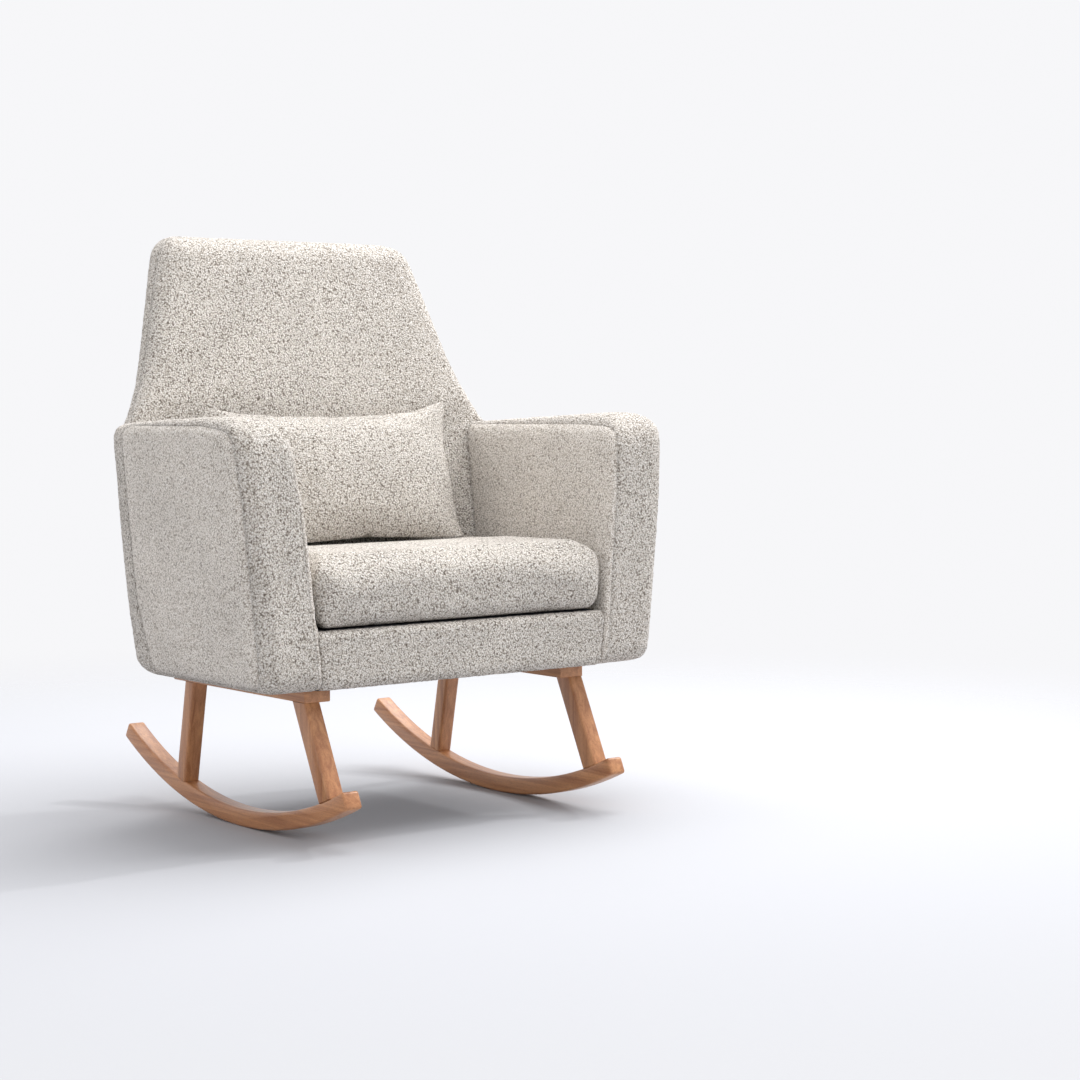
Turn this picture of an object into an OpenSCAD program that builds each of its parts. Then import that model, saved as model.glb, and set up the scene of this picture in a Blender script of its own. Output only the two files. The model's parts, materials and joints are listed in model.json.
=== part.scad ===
// Upholstered nursery rocking chair on two curved wooden runners.
// Millimetres. +Z is up, the chair faces -Y and +X is to the right as seen from the front.
// The origin is the middle of the chair's bounding box at floor level.

/* [Rocker base] */
// Length of a rocker along the floor direction, between its lower corners
rocker_length = 688; // [660:1:710]
// Radius of the rocker's running surface
rocker_radius = 750; // [700:5:850]
// Width of a rocker across the chair
rocker_width = 30; // [26:1:36]
// Depth of the rocker's section
rocker_thickness = 28; // [24:1:34]
// Distance of the rocker's lowest point ahead of its middle
contact_ahead = 32; // [26:1:48]
// Distance from the chair's middle to the outer face of each rocker
base_half_width = 268; // [262:1:272]
// Width of a leg across the chair
leg_width = 28; // [24:1:30]
// Length of a mounting rail
mounting_rail_length = 402; // [380:1:406]
// Width of a mounting rail
mounting_rail_width = 46; // [40:1:48]
// Thickness of a mounting rail
mounting_rail_thickness = 22; // [20:1:24]
// Height of the top of the mounting rails above the floor
mounting_height = 236; // [230:1:240]

/* [Upholstered body] */
// Height of the top of the back
back_height = 937; // [930:1:960]
// Half width of the back at its top
back_top_half_width = 235; // [225:1:240]
// Height of the top of the arms at the front
arm_height = 646; // [635:1:650]
// Y of the front of the arms at their foot
front_y = -291; // [-296:1:-288]
// Y of the rear face of the lower body
rear_y = 173; // [171:1:180]
// Forward to backward lean of the inner back, as a run for each unit of rise
back_lean = 0.262; // [0.25:0.002:0.27]
// Outward lean of the arms, as a run for each unit of rise
arm_flare = 0.1; // [0.08:0.005:0.11]
// Thickness of the bouclé cover
cover_thickness = 3; // [2:0.5:4]
// Height of the seat deck
deck_height = 326; // [322:1:328]

/* [Cushions] */
// Height of the seat cushion
seat_cushion_height = 108; // [104:1:110]
// Half width of the seat cushion at its foot
seat_cushion_half_width = 272; // [266:1:273]
// Width of the lumbar pillow
pillow_width = 500; // [440:1:510]
// Height of the lumbar pillow between its long seams
pillow_height = 236; // [220:1:238]
// Greatest thickness of the lumbar pillow
pillow_thickness = 96; // [70:1:104]

/* [Fasteners] */
// Radius of the mounting bolts' shank
bolt_radius = 3.9; // [3.9:0.1:4]
// Radius of the clearance holes for the mounting bolts
bolt_hole_radius = 4.5; // [4.3:0.1:4.8]

/* [Hidden] */

left = -1;
right = 1;
fine = 96;

wood = "#B5744A";
hidden_wood = "#CDB48A";
boucle = "#D9D3C6";
foam = "#EFE3C0";
steel = "#9A9C9E";
black_cloth = "#2B2B2D";

contact_y = -contact_ahead;
front_tip_angle = asin((rocker_length / 2 - contact_ahead) / rocker_radius);
rear_tip_angle = asin((rocker_length / 2 + contact_ahead) / rocker_radius);
mounting_rail_bottom = mounting_height - mounting_rail_thickness;
mounting_rail_rear_y = rear_y - 4;
mounting_rail_front_y = mounting_rail_rear_y - mounting_rail_length;
mounting_rail_mid_x = base_half_width - mounting_rail_width / 2;
leg_x = base_half_width - leg_width;

// Each leg leans in the plane of its rocker: y of its front face at the rail and where it meets the runner
front_leg_top_y = -233;
front_leg_foot_y = -301;
front_leg_depth = 38;
rear_leg_top_y = 104;
rear_leg_foot_y = 138;
rear_leg_depth = 29;
tenon_length = 14;
tenon_shoulder = 5;

// Seat frame
frame_bottom = mounting_height + 1.5;
frame_top = 310;
board = 26;
seat_rail_outer_x = 266;
seat_rail_inner_x = seat_rail_outer_x - 28;
bolt_x = (seat_rail_outer_x + seat_rail_inner_x) / 2;
bolt_ys = [-165, -40, 65];
front_rail_y = -264;
front_rail_back_y = front_rail_y + board;
rear_rail_y = 127;
webbing_rail_y = 30;
lean_ref_y = 88;
lean_ref_z = 420;
stile_front_gap = 22;
stile_depth = 32;
stile_top = 888;
top_rail_height = 60;
lumbar_rail_z = [395, 450];
foam_behind_straps = stile_front_gap + 4;
outer_back_wall = 18;
hollow_half_width = 208;
arm_front_post_y = -262;
arm_rear_post_y = 84;
arm_post_depth = 24;
arm_frame_top = 598;

cushion_foot = deck_height + 1;
cushion_front_y = -293;
cushion_rear_y = 54;
zip_height = cushion_foot + 56;

pillow_lean = 27;
pillow_center = [0, 80, 549];
zip_tape = 1.2;

function inner_back_y(z) = lean_ref_y + (z - lean_ref_z) * back_lean;
function outer_back_y(z) = max(rear_y, 290 - (913 - z) * 0.305);
function arm_inner_x(z) = 268.5 + (z - 260) * arm_flare;
function arm_outer_x(z) = 375 + (z - 260) * arm_flare;

// A polygon's corners rounded to arcs: each point is [x, y, radius]
function unit(v) = v / norm(v);
function corner(p, a, b, steps) =
    let (u = unit([a[0] - p[0], a[1] - p[1]]),
         v = unit([b[0] - p[0], b[1] - p[1]]),
         half = acos(max(-1, min(1, u * v))) / 2,
         reach = p[2] / tan(half),
         mid = unit(u + v) * (p[2] / sin(half)),
         c = [p[0] + mid[0], p[1] + mid[1]],
         start = [p[0] + u[0] * reach - c[0], p[1] + u[1] * reach - c[1]],
         turn = u[0] * v[1] - u[1] * v[0] > 0 ? -1 : 1,
         sweep = (180 - 2 * half) * turn)
    p[2] < 0.01 ? [[p[0], p[1]]]
    : [for (i = [0 : steps])
        let (t = sweep * i / steps)
        [c[0] + start[0] * cos(t) - start[1] * sin(t), c[1] + start[0] * sin(t) + start[1] * cos(t)]];
function rounded(points, steps = 5) =
    let (n = len(points))
    [for (i = [0 : n - 1]) each corner(points[i], points[(i + n - 1) % n], points[(i + 1) % n], steps)];

module on_side(side) {
    if (side < 0) mirror([1, 0, 0]) children();
    else children();
}
// Prisms from a front view (x, z), a side view (y, z) and a plan (x, y)
module front_prism(points, y0 = -600, y1 = 600) {
    translate([0, y1, 0]) rotate([90, 0, 0]) linear_extrude(y1 - y0) polygon(points);
}
module side_prism(points, x0 = -600, x1 = 600) {
    translate([x0, 0, 0]) rotate([90, 0, 90]) linear_extrude(x1 - x0) polygon(points);
}
module plan_prism(points, z0 = 0, z1 = 1200) {
    translate([0, 0, z0]) linear_extrude(z1 - z0) polygon(points);
}
module block(from, to) {
    translate(from) cube(to - from);
}

// ---- Rocker base ----

module rocker(side) {
    far = 2 * rocker_radius;
    color(wood) on_side(side) difference() {
        translate([base_half_width - rocker_width, contact_y, rocker_radius]) rotate([90, 0, 90])
            linear_extrude(rocker_width) intersection() {
                difference() {
                    circle(r = rocker_radius, $fn = 2 * fine);
                    circle(r = rocker_radius - rocker_thickness, $fn = 2 * fine);
                }
                polygon([[0, 0], [-far * sin(front_tip_angle), -far * cos(front_tip_angle)],
                         [far * sin(rear_tip_angle), -far * cos(rear_tip_angle)]]);
            }
        leg_tenons();
    }
}

// Height of the rocker's upper face at a place along it
function runner_top(y) =
    rocker_radius - sqrt(pow(rocker_radius - rocker_thickness, 2) - pow(y - contact_y, 2));
function leg_shift(top_y, foot_y, depth) =
    (foot_y - top_y) / (mounting_rail_bottom - runner_top(foot_y + depth / 2));

module leg_blank(top_y, foot_y, depth, z0, z1, in_x, in_y) {
    run = leg_shift(top_y, foot_y, depth);
    y_at0 = top_y + run * (mounting_rail_bottom - z0);
    y_at1 = top_y + run * (mounting_rail_bottom - z1);
    side_prism([[y_at0 + in_y, z0], [y_at0 + depth - in_y, z0], [y_at1 + depth - in_y, z1], [y_at1 + in_y, z1]],
               leg_x + in_x, leg_x + leg_width - in_x);
}
module one_tenon_pair(top_y, foot_y, depth) {
    leg_blank(top_y, foot_y, depth, runner_top(foot_y + depth / 2) - tenon_length, mounting_rail_bottom + tenon_length,
              tenon_shoulder, tenon_shoulder);
}
module leg_tenons() {
    one_tenon_pair(front_leg_top_y, front_leg_foot_y, front_leg_depth);
    one_tenon_pair(rear_leg_top_y, rear_leg_foot_y, rear_leg_depth);
}
// The leg is cut to the runner's upper face and keeps a tenon at each end
module front_leg(side) {
    fitted_leg(side, front_leg_top_y, front_leg_foot_y, front_leg_depth);
}
module rear_leg(side) {
    fitted_leg(side, rear_leg_top_y, rear_leg_foot_y, rear_leg_depth);
}
module fitted_leg(side, top_y, foot_y, depth) {
    color(wood) on_side(side) union() {
        intersection() {
            leg_blank(top_y, foot_y, depth, 15, mounting_rail_bottom, 0, 0);
            translate([0, contact_y, rocker_radius]) rotate([0, 90, 0])
                cylinder(r = rocker_radius - rocker_thickness, h = 600, $fn = 2 * fine);
        }
        one_tenon_pair(top_y, foot_y, depth);
    }
}

module mounting_rail(side) {
    color(wood) on_side(side) difference() {
        block([base_half_width - mounting_rail_width, mounting_rail_front_y, mounting_rail_bottom],
              [base_half_width, mounting_rail_rear_y, mounting_height]);
        leg_tenons();
        for (y = bolt_ys) translate([bolt_x, y, 0]) {
            cylinder(r = bolt_hole_radius, h = 400, $fn = 48);
            cylinder(r = 10, h = mounting_rail_bottom + 10, $fn = 48);
        }
    }
}

module at_bolts() {
    for (s = [left, right], y = bolt_ys) translate([s * bolt_x, y, mounting_rail_bottom]) children();
}
module mounting_bolts() {
    color(steel) at_bolts() {
        translate([0, 0, 2]) difference() {
            cylinder(r = 6.5, h = 6, $fn = 48);
            translate([0, 0, -1]) cylinder(r = 2.9, h = 5, $fn = 6);
        }
        translate([0, 0, 8]) cylinder(r = bolt_radius, h = 40, $fn = 48);
    }
}
module mounting_washers() {
    color(steel) at_bolts() translate([0, 0, 8]) difference() {
        cylinder(r = 9, h = 2, $fn = 48);
        translate([0, 0, -1]) cylinder(r = bolt_hole_radius, h = 4, $fn = 48);
    }
}
// A flanged nut pressed in from the top of each seat rail
module tee_nuts() {
    color(steel) for (s = [left, right], y = bolt_ys) translate([s * bolt_x, y, mounting_height]) difference() {
        union() {
            translate([0, 0, 14]) cylinder(r = 5, h = 12, $fn = 48);
            translate([0, 0, 26]) cylinder(r = 11, h = 1.6, $fn = 48);
        }
        cylinder(r = 4, h = 30, $fn = 48);
    }
}

// ---- Hardwood seat frame ----

module bolt_ways() {
    for (s = [left, right], y = bolt_ys) translate([s * bolt_x, y, mounting_height]) {
        translate([0, 0, -5]) cylinder(r = bolt_hole_radius, h = 60, $fn = 48);
        translate([0, 0, 14]) cylinder(r = 5, h = 60, $fn = 48);
        translate([0, 0, 26]) cylinder(r = 11, h = 60, $fn = 48);
    }
}
module seat_rail(side) {
    color(hidden_wood) difference() {
        on_side(side) block([seat_rail_inner_x, front_rail_back_y, frame_bottom],
                            [seat_rail_outer_x, rear_rail_y, frame_top]);
        bolt_ways();
    }
}
module front_seat_rail() {
    color(hidden_wood) block([-seat_rail_outer_x, front_rail_y, frame_bottom],
                             [seat_rail_outer_x, front_rail_back_y, frame_top]);
}
module rear_seat_rail() {
    color(hidden_wood) block([-seat_rail_outer_x, rear_rail_y, frame_bottom],
                             [seat_rail_outer_x, rear_rail_y + board, frame_top]);
}
module webbing_rail() {
    color(hidden_wood) block([-seat_rail_inner_x, webbing_rail_y, frame_top - 45],
                             [seat_rail_inner_x, webbing_rail_y + board, frame_top]);
}
module corner_blocks() {
    size = 60;
    x = seat_rail_inner_x;
    color(hidden_wood) for (s = [left, right]) on_side(s) {
        plan_prism([[x, front_rail_back_y], [x - size, front_rail_back_y], [x, front_rail_back_y + size]],
                   frame_bottom + 8, frame_top - 12);
        plan_prism([[x, rear_rail_y], [x - 22, rear_rail_y], [x, rear_rail_y - 22]],
                   frame_bottom + 8, frame_top - 12);
    }
}

// ---- Back frame ----

module back_stile(side) {
    f = stile_front_gap;
    r = stile_front_gap + stile_depth;
    color(hidden_wood) on_side(side) side_prism(
        [[inner_back_y(frame_bottom) + f, frame_bottom], [inner_back_y(frame_bottom) + r - 6, frame_bottom],
         [inner_back_y(stile_top) + r, stile_top], [inner_back_y(stile_top) + f, stile_top]],
        seat_rail_inner_x - board, seat_rail_inner_x);
}
module cross_rail(z0, z1) {
    f = stile_front_gap + 4;
    r = stile_front_gap + 26;
    side_prism([[inner_back_y(z0) + f, z0], [inner_back_y(z0) + r, z0],
                [inner_back_y(z1) + r, z1], [inner_back_y(z1) + f, z1]],
               -(seat_rail_inner_x - board), seat_rail_inner_x - board);
}
module back_top_rail() {
    color(hidden_wood) cross_rail(stile_top - top_rail_height, stile_top - 4);
}
module lumbar_rail() {
    color(hidden_wood) cross_rail(lumbar_rail_z[0], lumbar_rail_z[1]);
}

// ---- Arm frame: two posts and the rail across their tops, glued up as one piece ----

module arm_post(y) {
    gap_in = 14;
    gap_out = 10;
    foot_out = arm_outer_x(frame_bottom) - gap_out;
    front_prism([[seat_rail_outer_x, frame_bottom], [foot_out - 24, frame_bottom], [foot_out, frame_bottom + 26],
                 [arm_outer_x(arm_frame_top) - gap_out, arm_frame_top],
                 [arm_inner_x(arm_frame_top) + gap_in, arm_frame_top],
                 [arm_inner_x(frame_top) + gap_in, frame_top], [seat_rail_outer_x, frame_top]],
                y, y + arm_post_depth);
}
module arm_frame(side) {
    z0 = arm_frame_top - 24;
    x0 = arm_inner_x(z0) + 16;
    x1 = arm_outer_x(z0) - 12;
    color(hidden_wood) on_side(side) union() {
        arm_post(arm_front_post_y);
        arm_post(arm_rear_post_y);
        block([x0, arm_front_post_y + arm_post_depth - 1, z0], [x1, arm_rear_post_y + 1, arm_frame_top - 1]);
    }
}

// ---- Springing and cloths ----

webbing = 2.5;
module seat_webbing() {
    color(black_cloth) {
        for (i = [-2 : 2]) translate([i * 84 - 25, front_rail_y + 6, frame_top])
            cube([50, webbing_rail_y + board - 4 - front_rail_y - 6, webbing]);
        for (y = [-190, -100, -10]) block([-seat_rail_outer_x + 4, y - 25, frame_top + webbing],
                                          [seat_rail_outer_x - 4, y + 25, frame_top + 2 * webbing]);
    }
}
module strap_slot(z, grow = 0) {
    g = stile_front_gap;
    side_prism([[inner_back_y(z - 25) + g - webbing - grow, z - 25 - grow], [inner_back_y(z - 25) + g, z - 25 - grow],
                [inner_back_y(z + 25) + g, z + 25 + grow], [inner_back_y(z + 25) + g - webbing - grow, z + 25 + grow]],
               -seat_rail_inner_x + 3, seat_rail_inner_x - 3);
}
strap_heights = [480, 570, 660, 750, 840];
module back_webbing() {
    color(black_cloth) for (z = strap_heights) strap_slot(z);
}
module deck_pad() {
    color(foam) block([-seat_rail_outer_x, front_rail_y, frame_top + 2 * webbing],
                      [seat_rail_outer_x, inner_back_y(deck_height) - 8, deck_height - 1.5]);
}
module deck_cloth() {
    color(black_cloth) block([-seat_rail_outer_x, front_rail_y, deck_height - 1.5],
                             [seat_rail_outer_x, inner_back_y(deck_height) - 6, deck_height]);
}
module dust_cover() {
    color(black_cloth) difference() {
        block([-seat_rail_outer_x, front_rail_y, mounting_height], [seat_rail_outer_x, rear_rail_y + board, frame_bottom]);
        bolt_ways();
    }
}
module dust_cover_staples() {
    edge = 7;
    reach = mounting_rail_mid_x - mounting_rail_width / 2 - 14;
    color(steel) for (i = [-8 : 8], y = [front_rail_y + edge, rear_rail_y + board - edge])
        block([i * reach / 8 - 5, y - 0.6, mounting_height - 0.9], [i * reach / 8 + 5, y + 0.6, mounting_height]);
}

// ---- Upholstery masses: each is the meeting of a front view, a side view and a plan ----

module arm_mass(inset) {
    i = inset;
    front_prism(rounded([
        [arm_inner_x(mounting_height) + i, mounting_height + i, 0],
        [arm_outer_x(mounting_height) - i, mounting_height + i, 26 - i],
        [arm_outer_x(arm_height) - i, arm_height - i, 30 - i],
        [arm_inner_x(arm_height) + i, arm_height - i, 50 - i]], 6));
}
// The plan follows the flare, so its outline is measured square to the leaning outer face
flare_angle = atan(arm_flare);
module arm_limits(inset) {
    i = inset;
    out = arm_outer_x(0) * cos(flare_angle) - i + 0.04;
    intersection() {
        side_prism(rounded([
            [front_y + i, mounting_height + i, 26 - i],
            [rear_y - i, mounting_height + i, 48 - i],
            [rear_y - i, arm_height - 18 - i, 20 - i],
            [front_y + 12 + i, arm_height - i, 58 - i]], 6), 0, 600);
        rotate([0, flare_angle, 0]) plan_prism(rounded([
            [0, front_y + i, 0], [out, front_y + i, 36 - i],
            [out, rear_y - i, 112 - i], [0, rear_y - i, 0]], 9), 0, 900);
    }
}
module arm_body(inset) {
    intersection() {
        arm_mass(inset);
        arm_limits(inset);
    }
}
module arm_pair(inset) {
    for (s = [left, right]) on_side(s) arm_body(inset);
}
module wood_in_arm() {
    arm_frame(right);
}
module arm_foam(side) {
    color(foam) on_side(side) difference() {
        arm_body(cover_thickness);
        wood_in_arm();
        block([0, front_rail_y - 1, 0], [seat_rail_outer_x + 0.5, rear_rail_y + board + 1, deck_height]);
    }
}

seam_inset = 14;
arm_seam_y = 66;
// Slabs that share the cover out between its panels: along the outer face and along the inner face
module outer_slab() {
    front_prism([[arm_outer_x(0) - seam_inset, 0], [700, 0], [700, 900], [arm_outer_x(900) - seam_inset, 900]]);
}
module inner_slab() {
    front_prism([[-10, 0], [arm_inner_x(0) + seam_inset, 0], [arm_inner_x(900) + seam_inset, 900], [-10, 900]]);
}
// The inner cover stops where the back begins
module inner_cover_zone() {
    tuck = 8;
    intersection() {
        inner_slab();
        side_prism([[-400, 0], [inner_back_y(0) + tuck, 0], [inner_back_y(900) + tuck, 900], [-400, 900]]);
    }
}
module behind_seam() {
    block([-700, arm_seam_y, 0], [700, 700, 900]);
}
module arm_shell() {
    difference() {
        arm_body(0);
        arm_body(cover_thickness);
    }
}
module frame_way() {
    block([0, front_rail_y - 1, 0], [seat_rail_outer_x + 0.5, 700, deck_height]);
    wood_in_arm();
}
module arm_outer_cover(side) {
    color(boucle) on_side(side) difference() {
        intersection() {
            arm_shell();
            outer_slab();
        }
        behind_seam();
    }
}
module arm_inner_cover(side) {
    color(boucle) on_side(side) difference() {
        intersection() {
            arm_shell();
            inner_cover_zone();
        }
        frame_way();
    }
}
module arm_band(side) {
    color(boucle) on_side(side) difference() {
        arm_shell();
        outer_slab();
        inner_cover_zone();
        behind_seam();
        frame_way();
    }
}

// The back is a stack of level slices: each is a rounded oblong [height, half width, front, rear,
// front corner radius, rear corner radius]
back_round = 30;
function taper(z) = back_top_half_width + (back_height - z) * 0.3;
back_levels = concat(
    [for (z = [mounting_height, deck_height - 8]) [z, arm_inner_x(z) + 16, rear_rail_y, rear_y, 4, 20]],
    [for (z = [deck_height - 7.5, 430, 545]) [z, arm_inner_x(z) + 16, inner_back_y(z), outer_back_y(z), 4, 30]],
    [[585, 322, inner_back_y(585), outer_back_y(585), 4, 44],
     [606, 358, inner_back_y(606), outer_back_y(606), 6, 52],
     [618, 366, inner_back_y(618), outer_back_y(618), 8, 52],
     [628, 360, inner_back_y(628), outer_back_y(628), 8, 50],
     [642, 343, inner_back_y(642), outer_back_y(642), 10, 46],
     [662, 327, inner_back_y(662), outer_back_y(662), 12, 42],
     [690, 312, inner_back_y(690), outer_back_y(690), 16, 40]],
    [for (z = [740, 820, back_height - back_round])
        [z, taper(z), inner_back_y(z), outer_back_y(z), 22, 38]]);
// The top edge rolls over in a quarter round
function roll(t) =
    let (z = back_height - back_round * (1 - sin(t)), d = back_round * (1 - cos(t)))
    [z, taper(z) - d, inner_back_y(z) + d, outer_back_y(z) - d, max(3, 22 - d), max(3, 38 - 1.3 * d)];
back_stack = concat(back_levels, [for (t = [22.5 : 22.5 : 90]) roll(t)]);

function oblong(level, i) =
    let (w = level[1] - i, f = level[2] + i, r = level[3] - i,
         z = min(back_height - i, max(mounting_height + i, level[0])))
    [for (p = rounded([[-w, f, max(1, level[4] - i)], [w, f, max(1, level[4] - i)],
                       [w, r, max(1, level[5] - i)], [-w, r, max(1, level[5] - i)]], 4)) [p[0], p[1], z]];
module back_body_solid(inset) {
    rings = [for (level = back_stack) oblong(level, inset)];
    n = len(rings[0]);
    m = len(rings);
    polyhedron(points = [for (ring = rings) each ring],
               faces = concat(
                   [[for (k = [0 : n - 1]) k]],
                   [for (j = [0 : m - 2], k = [0 : n - 1]) each
                       [[j * n + k, (j + 1) * n + k, (j + 1) * n + (k + 1) % n],
                        [j * n + k, (j + 1) * n + (k + 1) % n, j * n + (k + 1) % n]]],
                   [[for (k = [n - 1 : -1 : 0]) (m - 1) * n + k]]));
}
module back_body(inset) {
    difference() {
        back_body_solid(inset);
        arm_pair(0);
    }
}
module wood_in_back() {
    for (s = [left, right]) back_stile(s);
    back_top_rail();
    lumbar_rail();
    rear_seat_rail();
    back_webbing();
    for (s = [left, right]) seat_rail(s);
}
// Air space behind the webbing, below and above the lumbar rail
module back_hollow() {
    lower = [frame_top + 4, lumbar_rail_z[0] - 4];
    upper = [lumbar_rail_z[1] + 4, stile_top - top_rail_height - 8];
    bend = 529;
    for (z = [[lower[0], lower[1], lower[1]], [upper[0], bend, upper[1]]])
        side_prism([[inner_back_y(z[0]) + foam_behind_straps, z[0]],
                    for (h = z) [outer_back_y(h) - outer_back_wall, h],
                    [inner_back_y(z[2]) + foam_behind_straps, z[2]]],
                   -hollow_half_width, hollow_half_width);
}
module back_foam() {
    color(foam) difference() {
        back_body(cover_thickness);
        wood_in_back();
        back_hollow();
    }
}
module in_front_of_back_seam() {
    set_back = 24;
    side_prism([[-400, 0], [inner_back_y(0) + set_back, 0], [inner_back_y(1200) + set_back, 1200], [-400, 1200]]);
}
module back_shell() {
    difference() {
        back_body(0);
        back_body_solid(cover_thickness);
        wood_in_back();
        block([-seat_rail_outer_x - 0.5, 0, 0], [seat_rail_outer_x + 0.5, rear_rail_y + board, frame_bottom]);
    }
}
module inner_back_cover() {
    color(boucle) intersection() {
        back_shell();
        in_front_of_back_seam();
    }
}
// The outer back is one panel that wraps round both rear corners to the seams on the arms
module outer_back_cover() {
    color(boucle) {
        difference() {
            back_shell();
            in_front_of_back_seam();
        }
        for (s = [left, right]) on_side(s) difference() {
            intersection() {
                arm_shell();
                behind_seam();
            }
            inner_cover_zone();
            frame_way();
        }
    }
}

// The padded border under the seat cushion
module border_body(inset) {
    i = inset;
    side_prism(rounded([
        [front_y + 6 + i, mounting_height + i, 14 - i],
        [front_rail_y, mounting_height + i, 0],
        [front_rail_y, deck_height, 0],
        [front_y + 6 + i, deck_height - i, 10 - i]], 4), -seat_rail_outer_x - 24, seat_rail_outer_x + 24);
}
module between_arms() {
    foot = arm_inner_x(0);
    top = arm_inner_x(900);
    front_prism([[-foot, 0], [foot, 0], [top, 900], [-top, 900]]);
}
module front_border_foam() {
    color(foam) intersection() {
        border_body(cover_thickness);
        between_arms();
    }
}
module front_border_cover() {
    color(boucle) intersection() {
        difference() {
            border_body(0);
            border_body(cover_thickness);
        }
        between_arms();
    }
}

// ---- Seat cushion ----

module cushion_body(inset) {
    i = inset;
    top = cushion_foot + seat_cushion_height - i;
    foot = cushion_foot + i;
    wide = seat_cushion_half_width - i;
    intersection() {
        front_prism(rounded([
            [-wide, foot, 22 - i], [wide, foot, 22 - i],
            [wide + 11, top, 40 - i], [-wide - 11, top, 40 - i]], 6));
        side_prism(rounded([
            [cushion_front_y + i, foot, 22 - i], [cushion_rear_y - i, foot, 14 - i],
            [cushion_rear_y - i, top, 20 - i], [cushion_front_y + i, top, 48 - i]], 6));
        plan_prism(rounded([
            [-wide - 11, cushion_front_y + i, 34 - i], [wide + 11, cushion_front_y + i, 34 - i],
            [wide + 11, cushion_rear_y - i, 16 - i], [-wide - 11, cushion_rear_y - i, 16 - i]], 6));
    }
}
module seat_cushion_foam() {
    color(foam) cushion_body(2);
}
module seat_cushion_cover() {
    color(boucle) difference() {
        cushion_body(0);
        cushion_body(2);
    }
}
zip_half_length = 205;
module seat_cushion_zip() {
    color("#D2CCBE") block([-zip_half_length, cushion_rear_y, zip_height - 7],
                           [zip_half_length, cushion_rear_y + zip_tape, zip_height + 7]);
}
slider_gap = 0.4;
module slider_body() {
    block([-4, slider_gap, -5], [4, 3.2, 5]);
    block([-3, 3.2, -1.5], [3, 4.4, 1.5]);
    block([-2.5, 2.2, -24], [2.5, 3.2, -5]);
}
module seat_zip_slider() {
    color(steel) translate([-zip_half_length + 8, cushion_rear_y + zip_tape, zip_height]) slider_body();
}

// ---- Lumbar pillow ----

// In its own frame the pillow stands in the XZ plane, centred, and is thickest in the middle.
// Its lower seam is straight, and the other three draw in between the corners.
pillow_tip = 3;
pillow_draw = 9;
function pillow_lens(u, bulge) = pillow_tip + (bulge - pillow_tip) * pow(max(0, 1 - pow(abs(u), 3)), 0.62);
module pillow_shape(inset) {
    w = pillow_width / 2 - inset;
    h = pillow_height / 2 - inset;
    bulge = pillow_thickness / 2 - inset;
    draw_in = [for (k = [0 : 7]) let (u = -1 + k / 4) [u, pillow_draw * (1 - u * u)]];
    outline = concat(
        [[-w, -h]],
        [for (d = draw_in) [w - d[1], h * d[0]]],
        [for (d = draw_in) [-w * d[0], h - d[1]]],
        [for (d = draw_in) if (d[0] > -1) [-w + d[1], -h * d[0]]], [[-w + 0.01, h]]);
    section = concat([for (k = [0 : 12]) let (u = -1 + k / 6) [pillow_lens(u, bulge), h * u]],
                     [for (k = [0 : 12]) let (u = 1 - k / 6) [-pillow_lens(u, bulge), h * u]]);
    plan = concat([for (k = [0 : 12]) let (u = -1 + k / 6) [w * u, -pillow_lens(u, bulge)]],
                  [for (k = [0 : 12]) let (u = 1 - k / 6) [w * u, pillow_lens(u, bulge)]]);
    intersection() {
        front_prism(outline);
        side_prism(section);
        plan_prism(plan, -300, 300);
    }
}
module pillow_place() {
    translate(pillow_center) rotate([-pillow_lean, 0, 0]) children();
}
// The pillow flattens where it leans on the back and sits on the cushion
module pillow_room(inset) {
    room = 2 + inset;
    z0 = cushion_foot + seat_cushion_height + room;
    side_prism([[-300, z0], [inner_back_y(z0) - room, z0], [inner_back_y(900) - room, 900], [-300, 900]]);
}
module pillow_body(inset) {
    intersection() {
        pillow_place() pillow_shape(inset);
        pillow_room(inset);
    }
}
module pillow_filling() {
    color(foam) pillow_body(2);
}
module pillow_cover() {
    color(boucle) difference() {
        pillow_body(0);
        pillow_body(2);
    }
}
pillow_zip_half = 175;
module pillow_zip() {
    foot = -pillow_height / 2;
    color("#D2CCBE") pillow_place()
        block([-pillow_zip_half, -pillow_tip, foot - zip_tape], [pillow_zip_half, pillow_tip, foot]);
}
module pillow_zip_slider() {
    foot = -pillow_height / 2 - zip_tape - slider_gap;
    color(steel) pillow_place() {
        block([-pillow_zip_half + 3, -3, foot - 2.4], [-pillow_zip_half + 12, 3, foot]);
        block([-pillow_zip_half - 16, -2.5, foot - 2.4], [-pillow_zip_half + 3, 2.5, foot - 1.4]);
    }
}

rocker(left);  // left_rocker
rocker(right);  // right_rocker
front_leg(left);  // left_front_leg
front_leg(right);  // right_front_leg
rear_leg(left);  // left_rear_leg
rear_leg(right);  // right_rear_leg
mounting_rail(left);  // left_mounting_rail
mounting_rail(right);  // right_mounting_rail
mounting_bolts();
mounting_washers();
tee_nuts();
seat_rail(left);  // left_seat_rail
seat_rail(right);  // right_seat_rail
front_seat_rail();
rear_seat_rail();
webbing_rail();
corner_blocks();
back_stile(left);  // left_back_stile
back_stile(right);  // right_back_stile
back_top_rail();
lumbar_rail();
arm_frame(left);  // left_arm_frame
arm_frame(right);  // right_arm_frame
seat_webbing();
back_webbing();
deck_pad();
deck_cloth();
dust_cover();
dust_cover_staples();
arm_foam(left);  // left_arm_foam
arm_foam(right);  // right_arm_foam
back_foam();
front_border_foam();
arm_outer_cover(left);  // left_arm_outer_cover
arm_outer_cover(right);  // right_arm_outer_cover
arm_band(left);  // left_arm_band
arm_band(right);  // right_arm_band
arm_inner_cover(left);  // left_arm_inner_cover
arm_inner_cover(right);  // right_arm_inner_cover
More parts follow.
